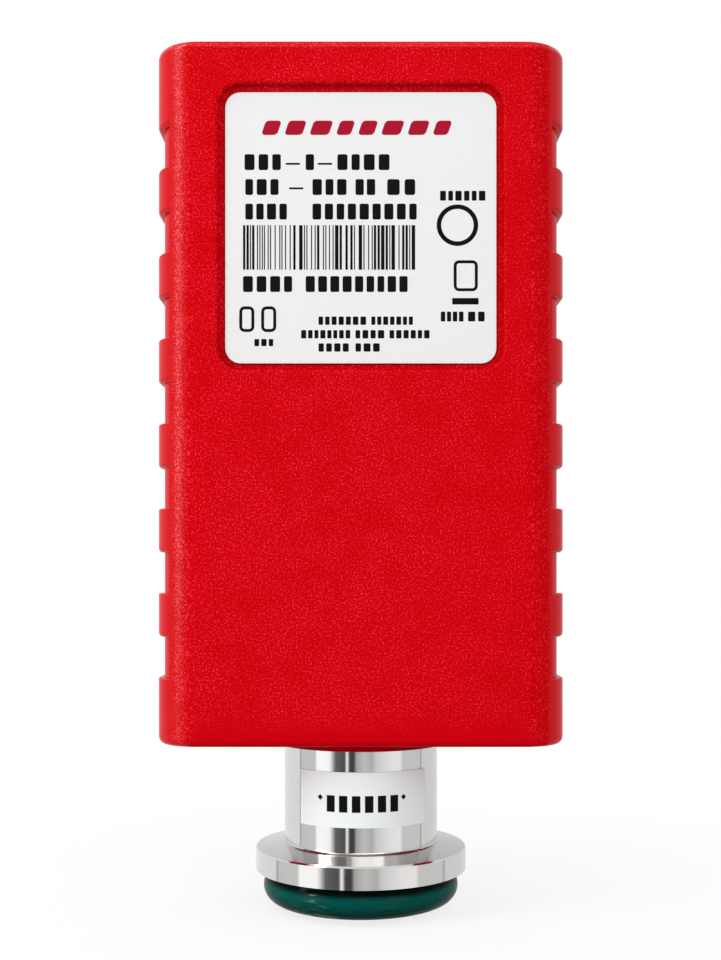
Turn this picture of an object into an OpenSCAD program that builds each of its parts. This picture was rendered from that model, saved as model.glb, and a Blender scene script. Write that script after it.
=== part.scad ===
// Heat-loss vacuum gauge: a heated wire in a turned steel tube, with its bridge circuit in a
// moulded two-part housing. Millimetres, +Z up, the label faces -Y.
// The origin is the centre of the flange's sealing face.

/* [Flange and tube] */
// Outside diameter of the clamp flange
flange_d = 30; // [27:0.5:36]
// Height of the flange rim at its edge
flange_rim = 3.1; // [2.4:0.05:4]
// Slope of the clamped back face of the flange, in degrees
flange_back_angle = 10; // [8:1:20]
// Bevel along the upper edge of the flange rim
flange_bevel = 0.2; // [0.05:0.05:0.4]
// Radius of the fillet between the flange and the neck
neck_fillet = 0.4; // [0.2:0.1:0.8]
// Outside diameter of the turned neck
neck_d = 21.8; // [20.6:0.1:23]
// Overall height of the tube above the sealing face
tube_h = 46; // [42:0.5:50]
// Diameter of the gauge chamber bored in the tube
chamber_d = 14.4; // [13:0.2:15.4]
// Diameter of the recess that takes the centring ring
spigot_bore_d = 17.2; // [16.8:0.1:17.8]
// Depth of the recess that takes the centring ring
spigot_bore_depth = 2.6; // [2.3:0.1:3.2]
// Diameter of the filter seat behind that recess
filter_seat_d = 16; // [15.6:0.1:16.6]
// Depth of the filter seat
filter_seat_depth = 3.4; // [2.4:0.1:5]
// Width of the groove that the housing grips
grip_groove_w = 2.4; // [1.8:0.1:3.2]
// Depth of the groove that the housing grips
grip_groove_depth = 1; // [0.6:0.1:1.4]

/* [Seal] */
// Cord thickness of the sealing ring
seal_cord = 4.7; // [4:0.1:5.2]
// Inside diameter of the sealing ring
seal_bore = 18.3; // [18:0.1:19]
// Length of the centring ring's spigot inside the flange
spigot_h = 2; // [1.4:0.1:2.2]
// Length of the centring ring below its collar
lower_spigot_h = 1.1; // [0.6:0.1:1.5]
// Inside diameter of the centring ring
centring_bore = 15.2; // [14.6:0.1:15.8]
// Distance from each side of the seal to the centring collar
collar_setback = 0.4; // [0.2:0.1:0.8]

/* [Filter] */
// Thickness of the perforated inlet filter
filter_t = 1.5; // [1:0.1:2]
// Diameter of one filter hole
filter_hole_d = 1.2; // [0.8:0.1:1.4]
// Spacing of the rings of filter holes
filter_ring_step = 2.3; // [2:0.1:2.4]

/* [Feedthrough and filament] */
// Thickness of the feedthrough header
header_t = 3; // [2:0.1:4]
// Width of the ledge that the header is welded on
header_ledge = 1.6; // [1:0.1:2]
// Diameter of the circle of pins
pin_circle_d = 9; // [8:0.2:10]
// Diameter of one feedthrough pin
pin_d = 1; // [0.8:0.05:1.2]
// Thickness of the glass around one pin
glass_wall = 0.8; // [0.5:0.05:1]
// Length of the short pins inside the chamber
short_pin_reach = 3; // [2:0.1:5]
// Gap between the long pin's end and the filter
long_pin_gap = 4; // [2:0.1:8]
// Diameter of the heated wire
filament_d = 0.12; // [0.06:0.01:0.3]
// Length of pin beyond the wire's ends
filament_inset = 0.6; // [0.4:0.1:1]

/* [Housing] */
// Width of the housing over its grip ribs
case_w = 54.9; // [54:0.5:62]
// Depth of the housing, front to back
case_d = 30; // [29:0.5:36]
// Height of the housing
case_h = 93.5; // [92:0.5:104]
// Height of the housing's underside above the sealing face
case_z = 18.85; // [18.6:0.2:21]
// Wall thickness of the housing
wall = 2.6; // [2.4:0.1:3]
// Radius of the four upright edges
corner_r = 5.8; // [5:0.2:7]
// Radius of the top and bottom edges
edge_r = 1; // [0.6:0.1:1.4]
// Radial wall of the boss round the neck, under the housing
boss_wall = 1.5; // [1.1:0.1:2]
// Drop of that boss below the housing
boss_h = 0.9; // [0.6:0.1:1.4]
// Radial wall of the inner collar that grips the tube
collar_wall = 2.3; // [2:0.1:2.8]
// Height of the tube's groove above the housing floor
grip_lift = 2; // [1.5:0.1:3]
// Height of collar above the tube's groove
collar_over = 1.2; // [0.8:0.1:2]
// Thickness of the rear cover's locating lip
lip_t = 0.8; // [0.6:0.1:0.9]
// Height of the rear cover's locating lip
lip_h = 1.6; // [1:0.1:2.4]
// Width of the shut line between the two covers
shut_line_w = 0.3; // [0.15:0.05:0.5]
// Depth of the shut line below the groove floors
shut_line_depth = 0.3; // [0.15:0.05:0.4]

/* [Side grips] */
// Number of grip grooves on each side
groove_count = 7; // [4:1:7]
// Height of one groove
groove_h = 5.5; // [4:0.1:6]
// Distance between neighbouring grooves
groove_pitch = 11.39; // [10:0.01:11.8]
// Height of the first groove above the housing's underside
first_groove = 8.95; // [6:0.05:10]
// Depth of the grooves
groove_depth = 0.8; // [0.6:0.05:1]
// Width of the side band that the grooves cut into
groove_band = 2; // [1.5:0.05:2.4]
// Rounding under each rib
rib_round = 0.6; // [0.5:0.05:1.2]
// Rounding along the top of each rib
rib_top_round = 0.25; // [0.1:0.05:0.4]

/* [Labels] */
// Width of the label recess
recess_w = 37.8; // [34:0.2:42]
// Height of the label recess
recess_h = 37.8; // [34:0.2:42]
// Corner radius of the label recess
recess_r = 3; // [2:0.1:4]
// Depth of the label recess
recess_depth = 0.9; // [0.6:0.1:1.2]
// Distance from the housing's top down to the recess
recess_drop = 5.8; // [5:0.1:8]
// Rounding along the recess's front edge
recess_round = 0.4; // [0.1:0.05:0.6]
// Margin between the label and the recess wall
label_margin = 0.95; // [0.5:0.05:1.2]
// Thickness of the printed label
label_t = 0.15; // [0.1:0.01:0.3]
// Height of the paper strip round the neck
strip_h = 7.5; // [5:0.05:8]
// Height of the strip's lower edge above the sealing face
strip_z = 7.45; // [6:0.05:8.6]
// Arc that the strip covers, in degrees
strip_arc = 101.5; // [80:0.5:120]
// Turn of the strip's middle away from the front, in degrees
strip_turn = 2.3; // [-10:0.1:10]
// Thickness of the paper strip
strip_t = 0.12; // [0.08:0.01:0.2]

/* [Circuit boards] */
// Thickness of the main board
board_t = 1.6; // [1.2:0.1:2]
// Width of the main board's lower part
board_w = 45; // [42:0.5:46]
// Width of the main board beside the top screw pillars
board_neck_w = 36; // [34.5:0.5:37]
// Gap between the main board's top edge and the housing's roof
board_top_gap = 2.4; // [1.5:0.1:4]
// Height of the main board's narrow top part
board_neck_h = 5.6; // [5:0.1:8]
// Gap between the tube board and the main board
board_gap = 4; // [3:0.1:6]
// Height of the standoffs behind the main board
standoff_h = 4.6; // [4.2:0.1:5]
// Diameter of the tube board
tube_board_d = 19; // [17:0.2:21]
// Thickness of the tube board
tube_board_t = 1.2; // [0.8:0.1:1.6]
// Gap between the tube's top and its board
tube_board_lift = 2.5; // [1.5:0.1:4]
// Number of pins that link the two boards
link_count = 4; // [2:1:4]
// Spacing of the link pins
link_pitch = 2.54; // [2:0.01:2.6]
// Thickness of one square link pin
link_t = 0.64; // [0.5:0.02:0.7]
// Depth and height of the link pins' block
link_block = 2.5; // [2.2:0.1:3]

/* [Components] */
// Diameter of one capacitor can
can_d = 8; // [6:0.2:10]
// Length of one capacitor can
can_h = 10; // [7:0.5:11.5]
// Number of capacitor cans
can_count = 2; // [1:1:3]
// Length of one amplifier package
chip_l = 9.6; // [8:0.1:12]
// Width of one amplifier package
chip_w = 6.4; // [5:0.1:7]
// Thickness of one amplifier package
chip_t = 3; // [2:0.1:4]
// Number of legs along each side of a package
chip_legs = 4; // [3:1:4]
// Width of the regulator package
regulator_w = 10; // [8:0.2:11]
// Height of the regulator package
regulator_h = 8.8; // [7:0.2:10]
// Height of the tab above the package
regulator_tab_h = 5.4; // [5:0.2:7]
// Diameter of the hole in the tab
regulator_hole_d = 3.6; // [3:0.1:3.8]
// Length of the regulator's three legs
regulator_leg_l = 2.2; // [1.4:0.1:2.4]
// Spacing of the regulator's legs
regulator_leg_pitch = 2.54; // [2:0.01:2.6]
// Width of one regulator leg
regulator_leg_w = 0.9; // [0.6:0.1:1.2]
// Thickness of the regulator package
regulator_t = 4.4; // [3:0.1:5]
// Thickness of the regulator's metal tab
regulator_tab_t = 1.3; // [0.8:0.1:2]
// Number of bridge resistors
resistor_count = 5; // [3:1:6]
// Diameter of one bridge resistor
resistor_d = 2.2; // [1.6:0.1:2.6]
// Length of one bridge resistor
resistor_l = 5.8; // [4:0.1:6.5]
// Spacing of the parts on the board
part_gap = 1.8; // [1:0.1:2]

/* [Socket] */
// Width of the cable socket's body
socket_w = 15.9; // [15:0.1:17]
// Depth of the socket's body in front of the board
socket_d = 13.3; // [12.6:0.1:14]
// Height of the socket's body
socket_h = 17.5; // [16:0.1:20]
// Setback of the socket's mouth below the housing's top
socket_setback = 0.5; // [0.2:0.1:1]
// Width of the plug cavity
cavity_w = 11.9; // [11:0.1:12.4]
// Depth of the plug cavity, front to back
cavity_d = 8.1; // [7.6:0.1:8.6]
// Depth of the plug cavity below the mouth
cavity_h = 13; // [11:0.1:14]
// Wall between the plug cavity and the board
cavity_back_wall = 2; // [1.5:0.1:2.4]
// Width of the latch slot
latch_w = 6.4; // [5:0.1:7]
// Depth of the latch slot
latch_d = 2.1; // [1.6:0.1:2.4]
// Number of socket contacts
contact_count = 8; // [4:1:8]
// Spacing of the socket contacts
contact_pitch = 1.02; // [0.9:0.01:1.1]
// Diameter of one contact wire
contact_d = 0.46; // [0.3:0.02:0.5]
// Height of a contact's upright part
contact_h = 10.4; // [9:0.1:10.8]
// Reach of a contact's free end into the cavity
contact_reach = 2.6; // [2:0.1:2.9]
// Drop of a contact's free end
contact_drop = 7; // [5:0.1:8]

/* [Trimmers] */
// Distance of each trimmer from the middle
trimmer_x = 13.5; // [12.6:0.1:14]
// Width and height of one trimmer
trimmer_w = 6.5; // [6:0.1:7.2]
// Depth of one trimmer in front of the board
trimmer_d = 5; // [5:0.1:5.8]
// Gap between the trimmers' tops and the board's top edge
trimmer_drop = 2; // [1.6:0.1:3]
// Thickness of a trimmer's top wall
trimmer_roof = 2; // [1.2:0.1:3]
// Diameter of a trimmer's turning screw
rotor_d = 3.2; // [2.4:0.1:3.4]
// Width of the collar that keeps the screw in
rotor_flange = 0.5; // [0.3:0.05:0.6]
// Thickness of that collar
rotor_flange_t = 1.4; // [1:0.1:1.6]
// Height of the screw above the trimmer
rotor_proud = 0.6; // [0.4:0.1:1]
// Width of the screwdriver slot
slot_w = 0.6; // [0.4:0.05:0.8]
// Depth of the screwdriver slot
slot_depth = 0.8; // [0.5:0.1:1]
// Thickness of the ceramic base in each trimmer
base_t = 1; // [0.6:0.1:1.2]
// Diameter of the access hole over each trimmer
access_d = 3.2; // [2.6:0.1:4]

/* [Fasteners] */
// Shank diameter of the cover screws
cover_screw_d = 2.5; // [2:0.1:2.9]
// Shank length of the cover screws
cover_screw_l = 12; // [9:0.5:13]
// Head diameter of the cover screws
cover_head_d = 4.8; // [4.2:0.1:5]
// Head height of the cover screws
cover_head_h = 1.9; // [1.4:0.1:2.4]
// Thickness of plastic under the cover screws' heads
head_seat = 4; // [3:0.1:5]
// Radius of the screw pillars
pillar_r = 3.5; // [3.2:0.1:3.6]
// Distance of the pillars from the housing's sides
pillar_inset_x = 5.4; // [5:0.1:5.6]
// Distance of the pillars from the housing's top and underside
pillar_inset_z = 5.4; // [5:0.1:5.6]
// Depth that the pillars enter the housing's walls
pillar_sink = 0.4; // [0.2:0.1:0.6]
// Shank diameter of the board screws
board_screw_d = 2; // [1.6:0.1:2.2]
// Shank length of the board screws
board_screw_l = 5; // [4:0.1:5.4]
// Head diameter of the board screws
board_head_d = 3.8; // [3.2:0.1:4]
// Head height of the board screws
board_head_h = 1.4; // [1:0.1:1.8]
// Radius of the standoffs
standoff_r = 2.6; // [2.2:0.1:2.8]
// Distance of the standoffs from the board's edges
standoff_inset = 3.4; // [3:0.1:4]
// Width across the corners of the cover screws' drives
cover_drive_d = 2.4; // [1.8:0.1:2.8]
// Width across the corners of the board screws' drives
board_drive_d = 1.9; // [1.4:0.1:2.2]
// Depth of the screw drives
drive_depth = 0.8; // [0.5:0.1:0.9]

/* [Fits] */
// Clearance round the tube in the housing
tube_gap = 0.1; // [0.05:0.01:0.2]
// Clearance of the centring ring in the flange and the seal
spigot_gap = 0.1; // [0.05:0.01:0.2]
// Clearance of the filter in its seat
filter_gap = 0.05; // [0.02:0.01:0.1]
// Clearance of the locating lip
lip_gap = 0.1; // [0.05:0.01:0.15]
// Clearance of the socket in the housing's roof
socket_gap = 0.2; // [0.1:0.05:0.3]
// Clearance round screws and pins
screw_gap = 0.1; // [0.05:0.01:0.15]
// Running clearance of the trimmer screws
running_gap = 0.05; // [0.03:0.01:0.08]
// Gap left where round parts touch
touch_gap = 0.02; // [0.01:0.01:0.05]

/* [Hidden] */
$fn = 64;

// Extra length of a cut beyond the faces that it opens
over = 1;
neck_r = neck_d / 2;
chamber_r = chamber_d / 2;
taper_top = flange_rim + (flange_d / 2 - neck_r) * tan(flange_back_angle);
// Centre of the neck's fillet, and the point where it meets the sloping back of the flange
fillet_centre = [neck_r + neck_fillet,
                 taper_top + neck_fillet * (1 / cos(flange_back_angle) - tan(flange_back_angle))];
fillet_foot = fillet_centre - neck_fillet * [sin(flange_back_angle), cos(flange_back_angle)];
filter_top = spigot_bore_depth + filter_seat_depth;
header_r = chamber_r + header_ledge;
header_z = tube_h - header_t;
bead_r = pin_d / 2 + glass_wall;
long_pin_z = filter_top + long_pin_gap;
short_pin_z = header_z - short_pin_reach;
tube_board_z = tube_h + tube_board_lift;
pin_top = tube_board_z + tube_board_t + pin_d;

case_top = case_z + case_h;
floor_top = case_z + wall;
roof_z = case_top - wall;
inner_half_d = case_d / 2 - wall;
grip_z = floor_top + grip_lift;
grip_r = neck_r - grip_groove_depth;
collar_top = grip_z + grip_groove_w + collar_over;
boss_r = neck_r + tube_gap + boss_wall;
collar_r = neck_r + tube_gap + collar_wall;
groove_edge_x = case_w / 2 - groove_band;
// Part of the rounding under a rib that lies outside the groove's floor, and its height
rib_run = min(rib_round, groove_depth);
rib_rise = sqrt(rib_round * rib_round - (rib_round - rib_run) * (rib_round - rib_run));
recess_top = case_top - recess_drop;
recess_mid = recess_top - recess_h / 2;
recess_y = -case_d / 2 + recess_depth;

board_back = inner_half_d - standoff_h;
board_front = board_back - board_t;
board_z = tube_board_z + tube_board_t + board_gap;
board_top = roof_z - board_top_gap;
board_shoulder = board_top - board_neck_h;
standoff_places = [for (sx = [-1, 1], z = [board_z + standoff_inset, board_shoulder - standoff_inset])
                   [sx * (board_w / 2 - standoff_inset), z]];
link_y = board_front - link_block / 2;
link_places = [for (k = [0 : link_count - 1]) (k - (link_count - 1) / 2) * link_pitch];
link_tail_z = board_z + link_block + link_t;
link_hole_r = link_t * sqrt(2) / 2 + touch_gap;

socket_top = case_top - socket_setback;
socket_z = socket_top - socket_h;
socket_y = board_front - socket_d;
cavity_back = board_front - cavity_back_wall;
cavity_front = cavity_back - cavity_d;
cavity_floor = socket_top - cavity_h;
contact_y = cavity_back - contact_d / 2 - touch_gap;

trimmer_y = board_front - trimmer_d / 2;
trimmer_top = board_top - trimmer_drop;
trimmer_z = trimmer_top - trimmer_w;
rotor_r = rotor_d / 2;
well_r = rotor_r + rotor_flange + running_gap;
well_top = trimmer_top - trimmer_roof;

row_z = board_z + link_block + part_gap + link_block;
part_row = row_z + resistor_d + part_gap;

pillar_places = [for (sx = [-1, 1], z = [case_z + pillar_inset_z, case_top - pillar_inset_z])
                 [sx * (case_w / 2 - pillar_inset_x), z]];

// Flat outlines and bodies that several pieces share

module rounded_rectangle(w, h, r) {
    square([w - 2 * r, h], center = true);
    square([w, h - 2 * r], center = true);
    for (sx = [-1, 1], sy = [-1, 1])
        translate([sx * (w / 2 - r), sy * (h / 2 - r)]) circle(r);
}

// Upright profile of a box, standing on its lower edge
module standing_profile(w, h, r) {
    translate([0, h / 2]) rounded_rectangle(w, h, r);
}

// Half of that profile, from an upright axis outwards
module turned_profile(r, h, e) {
    square([r - e, h]);
    translate([0, e]) square([r, h - 2 * e]);
    for (z = [e, h - e]) translate([r - e, z]) circle(e);
}

// Box with round upright edges, and with a smaller rounding along its top and bottom edges
module rounded_box(w, d, h, r, e) {
    translate([-w / 2 + r, 0, 0]) rotate([90, 0, 90])
        linear_extrude(w - 2 * r) standing_profile(d, h, e);
    translate([0, d / 2 - r, 0]) rotate([90, 0, 0])
        linear_extrude(d - 2 * r) standing_profile(w, h, e);
    for (turn = [0 : 90 : 270]) {
        sx = turn == 0 || turn == 270 ? 1 : -1;
        sy = turn < 180 ? 1 : -1;
        translate([sx * (w / 2 - r), sy * (d / 2 - r), 0]) rotate([0, 0, turn])
            rotate_extrude(angle = 90)
                intersection() {
                    turned_profile(r, h, e);
                    square([r + e, h]);
                }
    }
}

// Upright frame that follows the housing's walls, between two insets, from y0 to y1
module wall_frame(inset_out, inset_in, y0, y1) {
    translate([0, y1, case_z]) rotate([90, 0, 0]) linear_extrude(y1 - y0) difference() {
        translate([-case_w / 2 + inset_out, inset_out])
            square([case_w - 2 * inset_out, case_h - 2 * inset_out]);
        translate([-case_w / 2 + inset_in, inset_in])
            square([case_w - 2 * inset_in, case_h - 2 * inset_in]);
    }
}

// Rod along +Y from a given face
module rod_y(r, y0, y1) {
    translate([0, y1, 0]) rotate([90, 0, 0]) cylinder(r = r, h = y1 - y0);
}

// Screw with its head's seat at the origin and its shank along +Y
module screw(shank_d, shank_l, head_d, head_h, drive_d) {
    rod_y(shank_d / 2, 0, shank_l);
    difference() {
        rod_y(head_d / 2, -head_h, 0);
        translate([0, drive_depth - head_h, 0]) rotate([90, 0, 0])
            cylinder(d = drive_d, h = drive_depth + over, $fn = 6);
    }
}

// Vacuum side

module gauge_tube() {
    color("silver") rotate_extrude() difference() {
        union() {
            polygon([[chamber_r, 0], [flange_d / 2, 0], [flange_d / 2, flange_rim - flange_bevel],
                     [flange_d / 2 - flange_bevel, flange_rim + flange_bevel * tan(flange_back_angle)],
                     [neck_r, taper_top], [neck_r, grip_z], [grip_r, grip_z],
                     [grip_r, grip_z + grip_groove_w], [neck_r, grip_z + grip_groove_w],
                     [neck_r, tube_h], [chamber_r, tube_h]]);
            difference() {
                polygon([[neck_r, taper_top], fillet_foot, fillet_centre, [neck_r, fillet_centre[1]]]);
                translate(fillet_centre) circle(neck_fillet);
            }
        }
        translate([0, -over]) square([spigot_bore_d / 2, spigot_bore_depth + over]);
        translate([0, -over]) square([filter_seat_d / 2, filter_top + over]);
        translate([0, header_z]) square([header_r, header_t + over]);
    }
}

module centring_ring() {
    spigot_r = spigot_bore_d / 2 - spigot_gap;
    color("gainsboro") rotate_extrude() {
        translate([centring_bore / 2, -seal_cord + collar_setback - lower_spigot_h])
            square([spigot_r - centring_bore / 2,
                    seal_cord - collar_setback + lower_spigot_h + spigot_h]);
        translate([centring_bore / 2, -seal_cord + collar_setback])
            square([seal_bore / 2 - spigot_gap - centring_bore / 2, seal_cord - 2 * collar_setback]);
    }
}

module flange_o_ring() {
    color("darkgreen") translate([0, 0, -seal_cord / 2 - touch_gap]) rotate_extrude()
        translate([(seal_bore + seal_cord) / 2, 0]) circle(d = seal_cord);
}

module inlet_filter() {
    color("lightgray") translate([0, 0, filter_top - filter_t]) difference() {
        cylinder(d = filter_seat_d - 2 * filter_gap, h = filter_t);
        for (ring = [0 : 2], k = [0 : max(0, 6 * ring - 1)])
            rotate([0, 0, ring == 0 ? 0 : k * 60 / ring])
                translate([ring * filter_ring_step, 0, -over])
                    cylinder(d = filter_hole_d, h = filter_t + 2 * over, $fn = 24);
    }
}

// The four pins stand on the corners of a square
module at_pins() {
    for (turn = [45 : 90 : 315]) rotate([0, 0, turn]) translate([pin_circle_d / 2, 0, 0]) children();
}

module feedthrough_header() {
    color("darkgray") translate([0, 0, header_z]) difference() {
        cylinder(r = header_r - touch_gap, h = header_t);
        at_pins() translate([0, 0, -over]) cylinder(r = bead_r, h = header_t + 2 * over);
    }
}

module feedthrough_glass() {
    color("steelblue") translate([0, 0, header_z]) at_pins() difference() {
        cylinder(r = bead_r - touch_gap, h = header_t);
        translate([0, 0, -over]) cylinder(r = pin_d / 2 + touch_gap, h = header_t + 2 * over);
    }
}

// One pin reaches down the chamber to carry the far end of the heated wire
module feedthrough_pins() {
    color("goldenrod") for (turn = [45 : 90 : 315]) {
        foot = turn == 45 ? long_pin_z : short_pin_z;
        rotate([0, 0, turn]) translate([pin_circle_d / 2, 0, foot])
            cylinder(d = pin_d, h = pin_top - foot);
    }
}

module filament() {
    reach = pin_circle_d / 2 - pin_d / 2 - filament_d;
    drop = short_pin_z - long_pin_z;
    color("dimgray") rotate([0, 0, 45]) translate([reach, 0, long_pin_z + filament_inset])
        rotate([0, -atan2(2 * reach, drop), 0])
            cylinder(d = filament_d, h = norm([2 * reach, drop]), $fn = 16);
}

// Boards and the link between them

module tube_board() {
    color("seagreen") translate([0, 0, tube_board_z]) difference() {
        cylinder(d = tube_board_d, h = tube_board_t);
        at_pins() translate([0, 0, -over])
            cylinder(r = pin_d / 2 + screw_gap, h = tube_board_t + 2 * over);
        for (x = link_places) translate([x, link_y, -over])
            cylinder(r = link_hole_r, h = tube_board_t + 2 * over);
    }
}

module link_block_body() {
    length = link_count * link_pitch;
    color("black") translate([-length / 2, link_y - link_block / 2, board_z]) difference() {
        cube([length, link_block, link_block]);
        for (k = [0 : link_count - 1])
            translate([(k + 0.5) * link_pitch - link_t / 2 - touch_gap,
                       (link_block - link_t) / 2 - touch_gap, -over])
                cube([link_t + 2 * touch_gap, link_t + 2 * touch_gap, link_block + 2 * over]);
    }
}

// Square pins that rise from the tube board and turn back into the main board
module link_pins() {
    foot = tube_board_z - link_t;
    color("gold") for (x = link_places) translate([x - link_t / 2, 0, 0]) {
        translate([0, link_y - link_t / 2, foot]) cube([link_t, link_t, link_tail_z + link_t - foot]);
        translate([0, link_y - link_t / 2, link_tail_z])
            cube([link_t, board_back + link_t - link_y + link_t / 2, link_t]);
    }
}

module main_board() {
    color("green") difference() {
        translate([0, board_back, 0]) rotate([90, 0, 0]) linear_extrude(board_t) {
            translate([-board_w / 2, board_z]) square([board_w, board_shoulder - board_z]);
            translate([-board_neck_w / 2, board_z]) square([board_neck_w, board_top - board_z]);
        }
        for (p = standoff_places) translate([p[0], 0, p[1]])
            rod_y(board_screw_d / 2 + screw_gap, board_front - over, board_back + over);
        for (x = link_places) translate([x, 0, link_tail_z + link_t / 2])
            rod_y(link_hole_r, board_front - over, board_back + over);
    }
}

module board_screws() {
    color("silver") for (p = standoff_places) translate([p[0], board_front, p[1]])
        screw(board_screw_d, board_screw_l, board_head_d, board_head_h, board_drive_d);
}

// Cable socket

module socket_housing() {
    color("dimgray") difference() {
        translate([-socket_w / 2, socket_y, socket_z]) cube([socket_w, socket_d, socket_h]);
        translate([-cavity_w / 2, cavity_front, cavity_floor]) cube([cavity_w, cavity_d, cavity_h + over]);
        translate([-latch_w / 2, cavity_front - latch_d, cavity_floor])
            cube([latch_w, latch_d + over, cavity_h + over]);
    }
}

// Spring wires that rise along the back of the cavity and slope forward from its mouth
module socket_contacts() {
    slope = atan2(contact_reach, contact_drop);
    color("gold") for (k = [0 : contact_count - 1])
        translate([(k - (contact_count - 1) / 2) * contact_pitch, contact_y, cavity_floor]) {
            cylinder(d = contact_d, h = contact_h, $fn = 24);
            translate([0, 0, contact_h]) {
                sphere(d = contact_d, $fn = 24);
                rotate([180 - slope, 0, 0])
                    cylinder(d = contact_d, h = norm([contact_reach, contact_drop]), $fn = 24);
            }
        }
}

// Trimmers: a block with a stepped well, a ceramic base, and a screw kept in by its collar

module trimmer_body(x) {
    translate([x, trimmer_y, trimmer_z]) difference() {
        translate([-trimmer_w / 2, -trimmer_d / 2, 0]) cube([trimmer_w, trimmer_d, trimmer_w]);
        translate([0, 0, -over]) cylinder(r = well_r, h = trimmer_w - trimmer_roof + over);
        cylinder(r = rotor_r + running_gap, h = trimmer_w + over);
    }
}

module trimmer_base(x) {
    translate([x, trimmer_y, trimmer_z]) cylinder(r = well_r - touch_gap, h = base_t);
}

module trimmer_rotor(x) {
    flange_top = well_top - running_gap;
    wiper_z = trimmer_z + base_t + running_gap;
    translate([x, trimmer_y, 0]) difference() {
        union() {
            translate([0, 0, wiper_z]) cylinder(r = rotor_r, h = trimmer_top + rotor_proud - wiper_z);
            translate([0, 0, flange_top - rotor_flange_t])
                cylinder(r = rotor_r + rotor_flange, h = rotor_flange_t);
        }
        translate([-rotor_d, -slot_w / 2, trimmer_top + rotor_proud - slot_depth])
            cube([2 * rotor_d, slot_w, slot_depth + over]);
    }
}

module zero_trimmer_body() { color("royalblue") trimmer_body(-trimmer_x); }
module zero_trimmer_base() { color("ivory") trimmer_base(-trimmer_x); }
module zero_trimmer_rotor() { color("gold") trimmer_rotor(-trimmer_x); }
module atmosphere_trimmer_body() { color("royalblue") trimmer_body(trimmer_x); }
module atmosphere_trimmer_base() { color("ivory") trimmer_base(trimmer_x); }
module atmosphere_trimmer_rotor() { color("gold") trimmer_rotor(trimmer_x); }

// Parts on the face of the main board, each standing on it

module capacitors() {
    step = can_d + part_gap;
    color("midnightblue") for (k = [0 : can_count - 1])
        translate([-board_w / 2 + part_gap + can_d / 2, 0, part_row + can_d / 2 + k * step])
            rod_y(can_d / 2, board_front - can_h, board_front);
}

module amplifier(z) {
    leg_w = chip_l / (3 * chip_legs);
    leg_step = chip_l / chip_legs;
    lift = leg_w / 2;
    translate([-chip_l / 2, board_front - chip_t - lift, z]) {
        cube([chip_l, chip_t, chip_w]);
        for (k = [0 : chip_legs - 1])
            translate([(k + 0.5) * leg_step - leg_w / 2, chip_t / 2, -leg_w])
                cube([leg_w, chip_t / 2 + lift, chip_w + 2 * leg_w]);
    }
}

module bridge_amplifier() { color("black") amplifier(part_row); }
module output_amplifier() { color("black") amplifier(part_row + chip_w + part_gap); }

module voltage_regulator() {
    x = board_w / 2 - part_gap - regulator_w / 2;
    color("gray") translate([x, board_front, part_row]) difference() {
        union() {
            translate([-regulator_w / 2, -regulator_t, 0]) cube([regulator_w, regulator_t, regulator_h]);
            translate([-regulator_w / 2, -regulator_tab_t, 0])
                cube([regulator_w, regulator_tab_t, regulator_h + regulator_tab_h]);
            for (k = [-1 : 1])
                translate([k * regulator_leg_pitch - regulator_leg_w / 2, -regulator_tab_t,
                           -regulator_leg_l])
                    cube([regulator_leg_w, regulator_tab_t, regulator_leg_l + over]);
        }
        translate([0, 0, regulator_h + regulator_tab_h / 2])
            rod_y(regulator_hole_d / 2, -regulator_tab_t - over, over);
    }
}

module bridge_resistors() {
    step = resistor_l + part_gap / 2;
    color("peru") for (k = [0 : resistor_count - 1])
        translate([(k - resistor_count / 2) * step, board_front - resistor_d / 2 - touch_gap, row_z])
            rotate([0, 90, 0]) cylinder(d = resistor_d, h = resistor_l);
}

// Housing

// Section of one groove, outwards from the housing's face and up from the groove's lower side,
// with the rounding under the rib above it and along the top of the rib below it
module groove_section() {
    translate([-groove_depth, 0]) square([groove_depth + over, groove_h]);
    difference() {
        translate([-rib_run, 0]) square([rib_run + over, groove_h + rib_rise]);
        translate([-rib_round, groove_h + rib_rise]) circle(rib_round, $fn = 24);
    }
    difference() {
        translate([-rib_top_round, -rib_top_round])
            square([rib_top_round + over, rib_top_round + groove_h]);
        translate([-rib_top_round, -rib_top_round]) circle(rib_top_round, $fn = 16);
    }
}

// One groove carried along a side and round its two upright edges
module groove_sweep() {
    translate([case_w / 2, case_d / 2 - corner_r, 0]) rotate([90, 0, 0])
        linear_extrude(case_d - 2 * corner_r) groove_section();
    for (turn = [0, 90]) translate([case_w / 2 - corner_r, (1 - turn / 45) * (corner_r - case_d / 2), 0])
        rotate([0, 0, -90 + turn]) rotate_extrude(angle = 90) translate([corner_r, 0]) groove_section();
}

// Grooves between the ribs, on both sides: they stop short of the plain front and back
module grip_grooves() {
    intersection() {
        for (side = [0, 1], k = [0 : groove_count - 1]) mirror([side, 0, 0])
            translate([0, 0, case_z + first_groove + k * groove_pitch]) groove_sweep();
        difference() {
            translate([-case_w, -case_d, case_z]) cube([2 * case_w, 2 * case_d, case_h]);
            translate([-groove_edge_x, -2 * case_d, case_z - over])
                cube([2 * groove_edge_x, 4 * case_d, case_h + 2 * over]);
        }
    }
}

// Room for the tube, with the ring that enters its groove left standing
module tube_room() {
    rotate_extrude() difference() {
        square([neck_r + tube_gap, tube_h + over]);
        translate([grip_r + tube_gap, grip_z + tube_gap])
            square([neck_r, grip_groove_w - 2 * tube_gap]);
    }
}

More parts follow.
